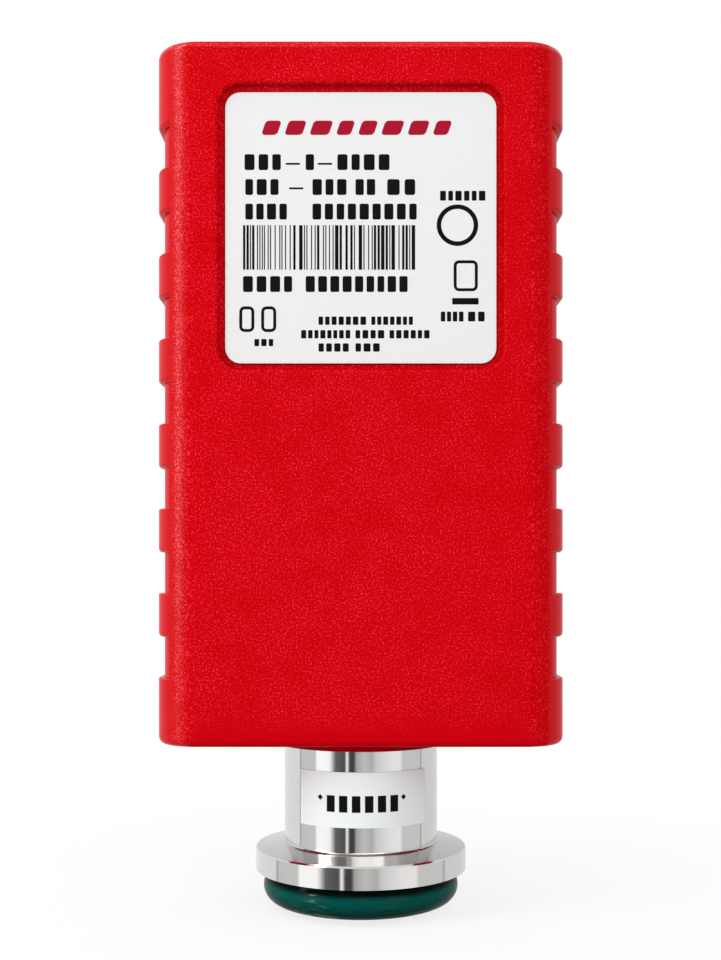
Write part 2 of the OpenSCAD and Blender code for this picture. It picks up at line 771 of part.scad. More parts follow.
// Both covers as one hollow shell, with the pillars, the collar and the openings
module shell() {
    difference() {
        union() {
            difference() {
                translate([0, 0, case_z]) rounded_box(case_w, case_d, case_h, corner_r, edge_r);
                grip_grooves();
                translate([0, 0, floor_top]) linear_extrude(case_h - 2 * wall)
                    rounded_rectangle(case_w - 2 * wall, case_d - 2 * wall, corner_r - wall);
            }
            translate([0, 0, case_z - boss_h]) cylinder(r = boss_r, h = boss_h + wall);
            translate([0, 0, floor_top - wall / 2])
                cylinder(r = collar_r, h = collar_top - floor_top + wall / 2);
            for (p = pillar_places) translate([p[0], 0, p[1]])
                rod_y(pillar_r, -inner_half_d - pillar_sink, inner_half_d + pillar_sink);
        }
        tube_room();
        translate([-socket_w / 2 - socket_gap, socket_y - socket_gap, roof_z - over])
            cube([socket_w + 2 * socket_gap, socket_d + 2 * socket_gap, wall + 2 * over]);
    }
}

module front_half() {
    translate([-case_w, -case_d, 0]) cube([2 * case_w, case_d, case_top + over]);
}

module rear_half() {
    translate([-case_w, 0, 0]) cube([2 * case_w, case_d, case_top + over]);
}

// Section of the rounded front edge of the recess: outwards from its wall, and up to the face
module recess_edge_section() {
    difference() {
        translate([-recess_round, 0]) square([2 * recess_round, recess_round + over]);
        translate([recess_round, 0]) circle(recess_round);
    }
}

// Recess cut into a face at z = 0, with a round front edge carried along its sides and corners
module recess_cut() {
    translate([0, 0, -recess_depth]) linear_extrude(recess_depth + over)
        rounded_rectangle(recess_w, recess_h, recess_r);
    for (turn = [0 : 90 : 270]) {
        length = turn % 180 == 0 ? recess_w : recess_h;
        across = turn % 180 == 0 ? recess_h : recess_w;
        rotate([0, 0, turn]) translate([0, 0, -recess_round]) {
            translate([-length / 2 + recess_r, across / 2, 0]) rotate([90, 0, 90])
                linear_extrude(length - 2 * recess_r) recess_edge_section();
            translate([length / 2 - recess_r, across / 2 - recess_r, 0])
                rotate_extrude(angle = 90) translate([recess_r, 0]) recess_edge_section();
        }
    }
}

module label_recess() {
    translate([0, -case_d / 2, recess_mid]) rotate([90, 0, 0]) recess_cut();
}

module front_cover() {
    color("red") difference() {
        intersection() {
            shell();
            front_half();
        }
        wall_frame(wall - lip_t - lip_gap, wall + lip_gap, -lip_h - lip_gap, over);
        wall_frame(-over, groove_depth + shut_line_depth, -shut_line_w, over);
        label_recess();
        for (p = pillar_places) translate([p[0], 0, p[1]])
            rod_y(cover_screw_d / 2 + screw_gap, head_seat - cover_screw_l - over, over);
    }
}

module rear_cover() {
    color("red") difference() {
        union() {
            intersection() {
                shell();
                rear_half();
            }
            wall_frame(wall - lip_t, wall, -lip_h, wall);
            for (p = standoff_places) translate([p[0], 0, p[1]])
                rod_y(standoff_r, board_back, inner_half_d + wall / 2);
        }
        tube_room();
        translate([-socket_w / 2 - socket_gap, socket_y - socket_gap, roof_z - over])
            cube([socket_w + 2 * socket_gap, socket_d + 2 * socket_gap, wall + 2 * over]);
        for (p = pillar_places) translate([p[0], 0, p[1]]) {
            rod_y(cover_screw_d / 2 + screw_gap, -over, case_d);
            rod_y(cover_head_d / 2 + screw_gap, head_seat, case_d);
        }
        for (p = standoff_places) translate([p[0], 0, p[1]])
            rod_y(board_screw_d / 2 + screw_gap, board_back - over,
                  board_front + board_screw_l + screw_gap);
        for (sx = [-1, 1]) translate([sx * trimmer_x, trimmer_y, roof_z - over])
            cylinder(d = access_d, h = wall + 2 * over);
    }
}

module cover_screws() {
    color("silver") for (p = pillar_places) translate([p[0], head_seat, p[1]])
        mirror([0, 1, 0])
            screw(cover_screw_d, cover_screw_l, cover_head_d, cover_head_h, cover_drive_d);
}

// Labels

module front_label() {
    color("white") translate([0, recess_y, recess_mid]) rotate([90, 0, 0]) linear_extrude(label_t)
        rounded_rectangle(recess_w - 2 * label_margin, recess_h - 2 * label_margin,
                          recess_r - label_margin);
}

module neck_label() {
    color("white") rotate([0, 0, strip_turn - 90 - strip_arc / 2]) translate([0, 0, strip_z])
        rotate_extrude(angle = strip_arc)
            translate([neck_r + touch_gap, 0]) square([strip_t, strip_h]);
}

gauge_tube();
centring_ring();
flange_o_ring();
inlet_filter();
feedthrough_header();
feedthrough_glass();
feedthrough_pins();
filament();
tube_board();
link_block_body();
link_pins();
rear_cover();
main_board();
board_screws();
socket_housing();
socket_contacts();
zero_trimmer_body();
zero_trimmer_base();
zero_trimmer_rotor();
atmosphere_trimmer_body();
atmosphere_trimmer_base();
atmosphere_trimmer_rotor();
capacitors();
voltage_regulator();
bridge_amplifier();
output_amplifier();
bridge_resistors();
front_cover();
cover_screws();
front_label();
neck_label();
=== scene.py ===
import bpy
import numpy as np
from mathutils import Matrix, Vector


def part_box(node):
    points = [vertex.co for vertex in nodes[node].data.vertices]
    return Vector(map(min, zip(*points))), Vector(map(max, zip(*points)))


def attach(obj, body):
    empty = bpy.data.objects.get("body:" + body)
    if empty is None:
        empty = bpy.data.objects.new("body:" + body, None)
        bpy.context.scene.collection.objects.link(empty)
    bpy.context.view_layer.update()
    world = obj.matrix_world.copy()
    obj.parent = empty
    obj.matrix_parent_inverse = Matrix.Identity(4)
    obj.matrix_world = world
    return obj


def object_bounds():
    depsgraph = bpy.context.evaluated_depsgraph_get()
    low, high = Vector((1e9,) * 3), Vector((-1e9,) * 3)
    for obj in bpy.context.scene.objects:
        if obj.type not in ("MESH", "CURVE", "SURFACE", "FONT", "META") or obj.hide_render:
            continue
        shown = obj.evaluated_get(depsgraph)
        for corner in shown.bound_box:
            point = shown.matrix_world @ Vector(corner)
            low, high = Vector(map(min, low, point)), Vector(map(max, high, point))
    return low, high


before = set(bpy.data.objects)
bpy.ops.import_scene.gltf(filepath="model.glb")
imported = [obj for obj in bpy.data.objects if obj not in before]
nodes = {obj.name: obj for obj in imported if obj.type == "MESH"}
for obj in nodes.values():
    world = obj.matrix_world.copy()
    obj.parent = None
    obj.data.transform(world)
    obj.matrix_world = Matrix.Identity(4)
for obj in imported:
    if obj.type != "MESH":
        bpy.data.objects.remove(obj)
cad_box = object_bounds()
scene = bpy.context.scene
scene.view_settings.view_transform = "Standard"

# Viewpoint: square on to the label, 188 mm in front of the gauge's axis and level with the lower
# part of the housing. The lens is raised, so upright edges stay upright.
eye_side = -4e-5
eye_distance = 0.188
eye_height = 0.0426
lens = bpy.data.cameras.new("viewpoint")
lens.lens = 49.19
lens.sensor_width = 36.0
lens.sensor_fit = "AUTO"
lens.shift_y = 0.0916
viewpoint = bpy.data.objects.new("viewpoint", lens)
viewpoint.location = (eye_side, -eye_distance, eye_height)
viewpoint.rotation_euler = (np.pi / 2, 0.0, 0.0)
scene.collection.objects.link(viewpoint)
scene.camera = viewpoint


# Gauge tube: clamp flange and neck turned from one bar of stainless steel, with fine lathe marks that
# run round it. They blur what it mirrors up and down, and leave it sharp from side to side. The sloping
# back of the flange is a little darker and rougher.
class Wire:
    """One socket of a node tree. Sums on wires and numbers add Math nodes; node() adds any other node."""

    def __init__(self, tree, socket=None):
        self.tree = tree
        self.socket = socket

    def node(self, kind, settings, sockets, out=0):
        """Adds a node: its settings first, then each input's value or link. Gives the wire of the output
        that out names, or a list of wires where out is a tuple of names."""
        made = self.tree.nodes.new(kind)
        for name, value in settings.items():
            if name == "stops":
                first, *middle, last = value
                for stop, (share, tone) in zip(made.color_ramp.elements, (first, last)):
                    stop.position = share
                    stop.color = (*tone, 1.0)
                for share, tone in middle:
                    made.color_ramp.elements.new(share).color = (*tone, 1.0)
            elif name == "interpolation":
                made.color_ramp.interpolation = value
            else:
                setattr(made, name, value)
        for name, value in sockets.items():
            if isinstance(value, Wire):
                self.tree.links.new(value.socket, made.inputs[name])
            else:
                made.inputs[name].default_value = value
        if isinstance(out, tuple):
            return [Wire(self.tree, made.outputs[name]) for name in out]
        return Wire(self.tree, made.outputs[out] if len(made.outputs) else None)

    def sum(self, operation, a, b):
        """A Math node with that operation on a and b, each of them a wire or a number."""
        return self.node("ShaderNodeMath", {"operation": operation}, {0: a, 1: b})

    def __add__(self, other):
        return self.sum("ADD", self, other)

    def __sub__(self, other):
        return self.sum("SUBTRACT", self, other)

    def __rsub__(self, other):
        return self.sum("SUBTRACT", other, self)

    def __mul__(self, other):
        return self.sum("MULTIPLY", self, other)

    def __truediv__(self, other):
        return self.sum("DIVIDE", self, other)

    def __pow__(self, other):
        return self.sum("POWER", self, other)

    def __abs__(self):
        return self.sum("ABSOLUTE", self, 0.0)

    __radd__ = __add__
    __rmul__ = __mul__

    def axes(self):
        """The X, Y and Z of this place."""
        return self.node("ShaderNodeSeparateXYZ", {}, {"Vector": self}, ("X", "Y", "Z"))

    def rise(self, low, high):
        """0 below low, 1 above high, and a smooth step between them."""
        return self.node("ShaderNodeMapRange", {"interpolation_type": "SMOOTHSTEP"},
                         {"Value": self, "From Min": low, "From Max": high})

    def tint(self, dark, light):
        """The colour that lies this share of the way from dark to light."""
        return self.node("ShaderNodeMix", {"data_type": "RGBA"}, {
            0: self, 6: dark if isinstance(dark, Wire) else (*dark, 1.0),
            7: light if isinstance(light, Wire) else (*light, 1.0)}, 2)

    def cloud(self, scale, detail=2.0, rough=0.5):
        """Soft random values from 0 to 1 at this place, with that many lumps in a millimetre."""
        return self.node("ShaderNodeTexNoise", {}, {
            "Vector": self, "Scale": scale, "Detail": detail, "Roughness": rough})

    def dent(self, depth):
        """The normal of a surface that this height, times a depth in metres, lifts."""
        return self.node("ShaderNodeBump", {}, {
            "Height": self, "Distance": depth, "Strength": 1.0}, "Normal")


def start_finish(name):
    """An empty material, and the wire of the place on the piece in millimetres."""
    material = bpy.data.materials.new(name)
    material.use_nodes = True
    material.node_tree.nodes.clear()
    root = Wire(material.node_tree)
    metres = root.node("ShaderNodeTexCoord", {}, {}, "Object")
    place = root.node("ShaderNodeMapping", {}, {"Vector": metres, "Scale": (1000.0, 1000.0, 1000.0)})
    return material, place


def end_finish(place, **sockets):
    """Closes a material with one Principled surface; socket names are written with _ for a space."""
    named = {name.replace("_", " "): value for name, value in sockets.items()}
    surface = place.node("ShaderNodeBsdfPrincipled", {}, named)
    place.node("ShaderNodeOutputMaterial", {}, {"Surface": surface})


def dress(material, *names):
    """Puts a material on the CAD nodes of those names."""
    for name in names:
        nodes[name].material_slots[0].material = material


def lathe_marks(place, per_mm):
    """Random rings round the Z axis: noise of the distance from the axis and of the height alone."""
    x, y, z = place.axes()
    ring = place.node("ShaderNodeCombineXYZ", {}, {"X": (x * x + y * y) ** 0.5, "Y": 0.0, "Z": z})
    return ring.cloud(per_mm, 3.0, 0.6)


turned_steel, place = start_finish("turned_stainless")
x, y, z = place.axes()
marks = lathe_marks(place, 9.0)
handled = place.cloud(0.35, 4.0, 0.6)
rim_top = 3.1
back_top = 4.05
above_rim = z.rise(rim_top - 0.05, rim_top + 0.05)
flange_back = above_rim * (1.0 - z.rise(back_top - 0.15, back_top + 0.15))
polish = handled.tint((0.66, 0.655, 0.645), (0.73, 0.725, 0.715))
end_finish(place, Metallic=1.0, Base_Color=flange_back.tint(polish, (0.52, 0.51, 0.495)),
           Roughness=marks * 0.06 + handled * 0.05 + flange_back * 0.1 + 0.02, Normal=marks.dent(2.5e-6))
dress(turned_steel, "gauge_tube")

# Inlet filter and centring ring: plainer stainless, the filter drilled and pressed into its seat,
# the ring pushed into the flange's recess with the seal round its collar.
ring_steel, place = start_finish("ring_stainless")
marks = lathe_marks(place, 6.0)
end_finish(place, Metallic=1.0, Base_Color=marks.tint((0.50, 0.49, 0.47), (0.62, 0.61, 0.59)),
           Roughness=marks * 0.15 + 0.2, Normal=marks.dent(4e-6))
dress(ring_steel, "inlet_filter", "centring_ring")


# Sealing ring: dark green fluoro rubber, moulded as one endless cord and held by its own stretch. Faint
# flow marks run along the cord. A shadow is painted dark along its top under the flange and a shade
# towards its bottom, and short streaks of its skin, most of them at the front left, are wiped shiny.
def drawn_out(place, across, up):
    """The place with X and Y times across and Z times up, so that noise on it runs in level streaks."""
    return place.node("ShaderNodeVectorMath", {"operation": "MULTIPLY"}, {0: place, 1: (across, across, up)})


seal_rubber, place = start_finish("green_seal_rubber")
x, y, z = place.axes()
flow = drawn_out(place, 0.4, 2.5).cloud(0.9, 3.0, 0.55)
# Painted shade: a painted shadow under the flange's overhang, and a painted shade towards the bottom of the
# cord.
painted_flange_shadow = z.rise(-1.8, -1.0)
painted_bottom_shade = 1.0 - z.rise(-4.4, -2.1)
painted_seal_shade = painted_flange_shadow * 0.97 + painted_bottom_shade * 0.78
green = flow.tint((0.0, 0.050, 0.040), (0.0, 0.103, 0.082))
streaks = drawn_out(place, 0.16, 1.0).cloud(2.6)
front_left = x.rise(-9.5, -7.5) * (1.0 - x.rise(-4.5, -2.5))
wiped = streaks.rise(0.52, 0.68) * (front_left * 0.85 + 0.15)
end_finish(place, Base_Color=painted_seal_shade.tint(green, (0.0, 0.003, 0.0025)), Roughness=flow * 0.16 + 0.2,
           Specular_IOR_Level=0.03, Coat_Weight=wiped * 0.7, Coat_Roughness=0.1, Normal=flow.dent(2e-5))
dress(seal_rubber, "flange_o_ring")

# Feedthrough: a nickel-iron header welded into the tube's top, with four gold-plated pins in beads
# of blue-grey glass, and the thin heated wire welded between two of the pins.
header_metal, place = start_finish("header_nickel_iron")
skin = place.cloud(5.0, 3.0)
end_finish(place, Metallic=1.0, Base_Color=skin.tint((0.36, 0.35, 0.33), (0.50, 0.49, 0.46)),
           Roughness=skin * 0.2 + 0.3, Normal=skin.dent(4e-6))
dress(header_metal, "feedthrough_header", "filament")

bead_glass, place = start_finish("sealing_glass_beads")
swirl = place.cloud(3.0)
end_finish(place, Base_Color=swirl.tint((0.05, 0.08, 0.13), (0.10, 0.15, 0.22)),
           Roughness=swirl * 0.06 + 0.05, Coat_Weight=0.5)
dress(bead_glass, "feedthrough_glass")

gold_plate, place = start_finish("gold_plated_contacts")
plating = place.cloud(6.0, 3.0)
end_finish(place, Metallic=1.0, Base_Color=plating.tint((0.72, 0.47, 0.16), (0.86, 0.60, 0.24)),
           Roughness=plating * 0.12 + 0.16, Normal=plating.dent(1.5e-6))
dress(gold_plate, "feedthrough_pins", "link_pins", "socket_contacts")

# Circuit boards: green glass-fibre laminate, lacquered, with straight copper tracks under the
# lacquer. The weave of the glass shows between the tracks.
board_laminate, place = start_finish("green_board_laminate")
x, y, z = place.axes()
tracks_per_mm = 0.42
track = abs(place.sum("FRACT", (z + x) * tracks_per_mm, 0.0) - 0.5).rise(0.27, 0.30)
weave = place.node("ShaderNodeTexChecker", {}, {"Vector": place, "Scale": 3.0}, "Fac")
bare = weave.tint((0.010, 0.085, 0.035), (0.014, 0.105, 0.045))
end_finish(place, Base_Color=track.tint(bare, (0.03, 0.21, 0.09)), Roughness=track * 0.05 + 0.28,
           Coat_Weight=0.3, Normal=(track + weave * 0.15).dent(1.5e-5))
dress(board_laminate, "tube_board", "main_board")

# Black mouldings: the link's pin block, the amplifier packages, the regulator and the cable
# socket, all in matt filled plastic with a fine moulded grain.
black_plastic, place = start_finish("black_moulded_plastic")
grain = place.cloud(7.0, 3.0, 0.6)
end_finish(place, Base_Color=grain.tint((0.010, 0.010, 0.011), (0.026, 0.026, 0.027)),
           Roughness=grain * 0.2 + 0.42, Normal=grain.dent(1.2e-5))
dress(black_plastic, "link_block_body", "bridge_amplifier", "output_amplifier", "voltage_regulator",
      "socket_housing")

# Trimmers: blue thermoset blocks with a white ceramic base, and a slotted brass screw that turns in
# each one to set the zero and the atmosphere reading. The screws have painted shade below their faces,
# so their slots show dark.
trimmer_blue, place = start_finish("blue_trimmer_block")
grain = place.cloud(5.0, 3.0, 0.6)
end_finish(place, Base_Color=grain.tint((0.010, 0.055, 0.30), (0.018, 0.085, 0.40)),
           Roughness=grain * 0.15 + 0.35, Normal=grain.dent(1e-5))
dress(trimmer_blue, "zero_trimmer_body", "atmosphere_trimmer_body")

white_ceramic, place = start_finish("white_trimmer_ceramic")
grain = place.cloud(8.0)
end_finish(place, Base_Color=grain.tint((0.74, 0.72, 0.67), (0.84, 0.82, 0.78)),
           Roughness=grain * 0.15 + 0.45, Normal=grain.dent(4e-6))
dress(white_ceramic, "zero_trimmer_base", "atmosphere_trimmer_base")

screw_brass, place = start_finish("brass_trimmer_screw")
x, y, z = place.axes()
turning = drawn_out(place, 0.3, 1.0).cloud(9.0, 3.0)
screw_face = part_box("zero_trimmer_rotor")[1].z * 1000.0
# Painted shade: the brass is painted dark below the screw's face, down into the slot.
slot = (screw_face - z).rise(0.05, 0.3)
brass = turning.tint((0.60, 0.43, 0.16), (0.76, 0.57, 0.24))
end_finish(place, Metallic=1.0, Base_Color=slot.tint(brass, (0.09, 0.06, 0.02)),
           Roughness=turning * 0.15 + slot * 0.2 + 0.18, Normal=turning.dent(4e-6))
dress(screw_brass, "zero_trimmer_rotor", "atmosphere_trimmer_rotor")

# Capacitors and resistors: aluminium cans in dark blue shrink sleeves with a pale stripe down one
# side, and tan lacquered resistors with colour rings, all soldered to the main board.
capacitor_sleeve, place = start_finish("capacitor_shrink_sleeve")
x, y, z = place.axes()
film = place.cloud(3.0)
stripe_edge = -18.8
stripe = 1.0 - x.rise(stripe_edge - 0.1, stripe_edge + 0.1)
sleeve_blue = film.tint((0.008, 0.012, 0.05), (0.014, 0.020, 0.075))
end_finish(place, Base_Color=stripe.tint(sleeve_blue, (0.45, 0.47, 0.50)),
           Roughness=film * 0.1 + 0.25, Normal=film.dent(1e-5))
dress(capacitor_sleeve, "capacitors")

resistor_coat, place = start_finish("resistor_lacquer")
x, y, z = place.axes()
resistor_pitch = 6.7
along = place.sum("FRACT", x / resistor_pitch, 0.0)
tan = (0.58, 0.40, 0.24)
rings = place.node("ShaderNodeValToRGB", {"interpolation": "CONSTANT", "stops": [
    (0.0, tan), (0.58, (0.02, 0.12, 0.03)), (0.65, tan), (0.72, (0.10, 0.03, 0.01)), (0.79, tan),
    (0.86, (0.35, 0.03, 0.02)), (0.93, tan)]}, {"Fac": along}, "Color")
lacquer = place.cloud(4.0)
end_finish(place, Base_Color=rings, Roughness=lacquer * 0.15 + 0.25, Normal=lacquer.dent(1.5e-5))
dress(resistor_coat, "bridge_resistors")

# Screws: zinc-plated steel, four short ones that hold the main board and four long ones that pull
# the covers together from the back. Painted shade darkens them down in the drives. Each row gives
# the node, the way its heads face along Y, and the end of its box that they lie on.
for node, out, end in (("board_screws", -1.0, 0), ("cover_screws", 1.0, 1)):
    screw_steel, place = start_finish("zinc_plated_" + node)
    x, y, z = place.axes()
    plating = place.cloud(4.0, 4.0, 0.6)
    head_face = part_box(node)[end].y * 1000.0
    # Painted shade: the plating is painted darker with depth below the head's face, down in the drive.
    sunk = ((head_face - y) * out).rise(0.05, 0.45)
    bright = plating.tint((0.42, 0.42, 0.43), (0.58, 0.58, 0.59))
    end_finish(place, Metallic=1.0, Base_Color=sunk.tint(bright, (0.05, 0.05, 0.052)),
               Roughness=plating * 0.2 + sunk * 0.2 + 0.22, Normal=plating.dent(5e-6))
    dress(screw_steel, node)

# Covers: two halves injection moulded in bright red plastic. Their patchy spark-eroded grain fades out on
# the upright edges and above the bottom edge, and its specks carry painted glints, flatter towards the
# right;
# the smooth side ribs, the left edge and the top edge shine. Painted shade darkens the collar under the
# housing and the recess, with a painted shadow line along the label's edge, strongest below it.
case_red, place = start_finish("red_moulded_case")
x, y, z = place.axes()
between_edges = 1.0 - abs(x).rise(24.7, 25.4)
near_edge = abs(x).rise(21.5, 23.0)
textured = between_edges * (3.0 * near_edge + z).rise(19.8, 24.0)
spark = place.cloud(4.2, 1.0)
flow = place.cloud(0.22, 4.0, 0.6)
# The specks' light tone is partly the grain's own colour and partly painted glints: the whitest specks are
# painted glints, and all of them are painted a quarter flatter towards the right, away from the light on the
# left.
patches_and_painted_right_fade = (flow.rise(0.35, 0.62) * 0.55 + 0.55) * (1.0 - x.rise(0.0, 24.0) * 0.25)
grain_and_painted_glint = spark.rise(0.38, 0.70) * patches_and_painted_right_fade
painted_star_glint = spark.rise(0.58, 0.74) * patches_and_painted_right_fade
grain_and_painted_glints = painted_star_glint.tint(grain_and_painted_glint.tint((0.562, 0.0001, 0.0015), (0.765, 0.0052, 0.0185)), (0.82, 0.038, 0.056))
edge_red = flow.tint((0.555, 0.0002, 0.004), (0.615, 0.0005, 0.006))
rib_red = flow.tint((0.585, 0.0003, 0.004), (0.655, 0.0006, 0.006))
smooth = abs(x).rise(25.0, 26.0).tint(edge_red, rib_red)

label_low, label_high = (np.array(corner) * 1000.0 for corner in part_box("front_label"))
label_mid = (label_low[2] + label_high[2]) / 2
label_corner = 2.05
beside = place.sum("MAXIMUM", abs(x) - (label_high[0] - label_corner), 0.0)
above = place.sum("MAXIMUM", abs(z - label_mid) - (label_high[2] - label_mid - label_corner), 0.0)
past_label = (beside * beside + above * above) ** 0.5 - label_corner
# Painted shade: the recess floor is painted darker, with a painted shadow line round the label's edge that
# is strongest below it, and the collar under the housing is painted in shade.
recess_floor = y.rise(-14.6, -14.3) * (1.0 - y.rise(-14.0, -13.8))
in_recess = recess_floor * (1.0 - past_label.rise(1.0, 1.4))
below = (label_low[2] - z).rise(-1.0, 0.0)
painted_label_shadow = (1.0 - past_label.rise(0.0, 0.35)) * (below * 0.25 + 0.4)
painted_collar_shade = (1.0 - z.rise(18.7, 18.9)) * 0.35
painted_shade = in_recess * (painted_label_shadow + below * 0.08 + 0.12) + painted_collar_shade

left_edge = (0.0 - x).rise(22.3, 23.5)
right_ribs = x.rise(24.6, 25.3)
top_edge = z.rise(111.2, 111.6) * (1.0 - z.rise(111.8, 112.0))
shine = left_edge + right_ribs + top_edge * 2.0
end_finish(place, Base_Color=painted_shade.tint(textured.tint(smooth, grain_and_painted_glints), (0.08, 0.0, 0.001)),
           Specular_IOR_Level=0.01, Roughness=textured * 0.06 + flow * 0.1 + 0.27, Coat_Roughness=0.24,
           Coat_Weight=shine * (0.33 + (grain_and_painted_glint * 0.32 - 0.2) * textured),
           Normal=(spark * textured).dent(8e-5))
dress(case_red, "front_cover", "rear_cover")


# Front label: white coated paper, printed and stuck in the recess. Its print is plain: a row of
# leaning dark red blocks, rows of dark blocks, a field of stripes, a ring and three frames.
def paper_finish(name, dull, bright):
    """White coated paper, whose fibres vary its colour from dull to bright."""
    paper, place = start_finish(name)
    fibre = place.cloud(5.0, 4.0, 0.6)
    end_finish(place, Base_Color=fibre.tint(dull, bright), Roughness=fibre * 0.1 + 0.42,
               Specular_IOR_Level=0.2, Normal=fibre.dent(2e-6))
    return paper


def ink_finish(name, dark, light, specular):
    """Matt ink that has soaked unevenly into the paper, from dark to light."""
    ink, place = start_finish(name)
    soak = place.cloud(9.0)
    end_finish(place, Base_Color=soak.tint(dark, light), Roughness=soak * 0.1 + 0.6,
               Specular_IOR_Level=specular)
    return ink


dress(paper_finish("white_label_paper", (0.79, 0.79, 0.79), (0.81, 0.81, 0.81)), "front_label")
black_ink = ink_finish("black_label_ink", (0.003, 0.003, 0.004), (0.008, 0.008, 0.009), 0.04)
red_ink = ink_finish("dark_red_label_ink", (0.34, 0.003, 0.018), (0.42, 0.006, 0.028), 0.08)
ink_thick = 0.012


def lay_ink(name, corners, faces, material):
    """Makes one piece of print from its corners in millimetres and its faces, fixed to the gauge."""
    mesh = bpy.data.meshes.new(name)
    mesh.from_pydata(corners * 0.001, [], faces)
    mesh.materials.append(material)
    ink = bpy.data.objects.new(name, mesh)
    scene.collection.objects.link(ink)
    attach(ink, "gauge")


def print_outline(x0, x1, z0, z1, r):
    """Outlines of many blocks at once, in millimetres: at each corner a quarter circle of radius r,
    whose centre is r inside both sides. Gives an array of blocks by points by (x, z)."""
    columns = [np.atleast_1d(np.asarray(side, float))[:, None] for side in (x0, x1, z0, z1, r)]
    x0, x1, z0, z1, r = np.broadcast_arrays(*columns)
    turn = np.radians(np.concatenate([np.linspace(90 * k, 90 * k + 90, 5) for k in range(4)]))
    right = np.repeat([1, 0, 0, 1], 5)
    upper = np.repeat([1, 1, 0, 0], 5)
    mid_x = np.where(right, x1 - r, x0 + r)
    mid_z = np.where(upper, z1 - r, z0 + r)
    return np.stack([mid_x + r * np.cos(turn), mid_z + r * np.sin(turn)], axis=2)


def print_film(name, outlines, lay, material):
    """Closed flat films with those outlines: the outline at the paper, again at the ink's thickness,
    a wall of quads between the two, and a cap on each. lay takes x, z and height to the place."""
    blocks, points = outlines.shape[:2]
    low = lay(outlines[..., 0], outlines[..., 1], 0.0)
    high = lay(outlines[..., 0], outlines[..., 1], ink_thick)
    corners = np.concatenate([low, high], axis=1).reshape(-1, 3)
    base = (np.arange(blocks) * 2 * points)[:, None]
    k = np.arange(points)
    n = (k + 1) % points
    walls = np.stack([base + k, base + n, base + n + points, base + k + points], axis=2).reshape(-1, 4)
    under = base + k[::-1]
    over = base + points + k
    lay_ink(name, corners, walls.tolist() + under.tolist() + over.tolist(), material)


def on_label(x, z, height):
    """A point of the front label: x and z from the label's middle, and height out of the paper's face."""
    return np.stack([x, np.full_like(x, label_low[1] - height), z + label_mid], axis=-1)


def dummy_word(x0, x1, z_mid, tall, count, rng):
    """A word of count round-cornered blocks between x0 and x1: their widths vary by a sixth, and each
    gap is 0.42 of the mean width, with the whole scaled to fill the word."""
    width = rng.uniform(0.84, 1.16, count)
    start = np.concatenate([[0.0], np.cumsum(width + 0.42)[:-1]])
    fit = (x1 - x0) / (start[-1] + width[-1])
    return print_outline(x0 + start * fit, x0 + (start + width) * fit, z_mid - tall / 2, z_mid + tall / 2,
                         0.2 * fit)


# Each row of dark blocks has the height of its middle, how tall it is, and its words, as left end,
# right end and number of blocks.
rng = np.random.default_rng(16)
word_rows = [(8.7, 2.1, [(-15.4, -10.6, 3), (-7.3, -6.2, 1), (-3.1, 3.8, 4)]),
             (5.4, 2.1, [(-15.3, -10.9, 3), (-6.4, -1.9, 3), (-0.7, 1.9, 2), (3.5, 7.2, 2)]),
             (2.15, 2.1, [(-15.3, -9.8, 4), (-6.4, 7.4, 9)]),
             (-7.45, 2.1, [(-15.6, -9.1, 4), (-7.3, 6.2, 9)]),
             (4.25, 1.3, [(10.5, 16.5, 6)]),
             (-11.75, 1.3, [(10.6, 13.6, 4), (14.2, 16.4, 2)]),
             (-15.2, 0.95, [(-14.1, -11.6, 3)]),
             (-12.3, 1.1, [(-5.6, 0.7, 7), (1.4, 6.9, 7)]),
             (-14.1, 1.1, [(-7.9, -1.4, 8), (-0.7, 3.1, 4), (3.8, 9.1, 6)]),
             (-15.85, 1.1, [(-5.6, -1.6, 4), (-0.7, 2.5, 3)])]
dark_print = [dummy_word(x0, x1, z_mid, tall, count, rng)
              for z_mid, tall, words in word_rows for x0, x1, count in words]

# The field of stripes has random widths and gaps, scaled to fill it.
stripe_count = 46
field_left = -15.6
field_wide = 22.8
field_low = -5.55
field_high = 0.35
stripe_wide = rng.choice([0.13, 0.13, 0.28, 0.42], stripe_count)
stripe_gap = rng.choice([0.13, 0.16, 0.3, 0.42], stripe_count)
stripe_x = np.concatenate([[0.0], np.cumsum(stripe_wide + stripe_gap)[:-1]])
fit = field_wide / (stripe_x[-1] + stripe_wide[-1])
dark_print.append(print_outline(field_left + stripe_x * fit, field_left + (stripe_x + stripe_wide) * fit,
                                field_low, field_high, 0.02))

# A bar lies under the tall frame, and thin dashes between words of the two upper rows.
dash_x = np.array([-9.95, -5.7, -9.5])
dash_low = np.array([8.35, 8.35, 5.1])
dash_wide = 1.9
dash_tall = 0.25
dark_print.append(print_outline(12.1, 15.6, -10.15, -9.3, 0.1))
dark_print.append(print_outline(dash_x, dash_x + dash_wide, dash_low, dash_low + dash_tall, 0.1))
print_film("label_print_dark", np.concatenate(dark_print), on_label, black_ink)

# The header's blocks lean to the right: each point moves by a third of its height above their foot.
header_mid = 13.25
header_tall = 1.9
header = dummy_word(-13.2, 11.5, header_mid, header_tall, 8, rng)
header[..., 0] += (header[..., 1] - header_mid + header_tall / 2) / 3
print_film("label_print_red", header, on_label, red_ink)


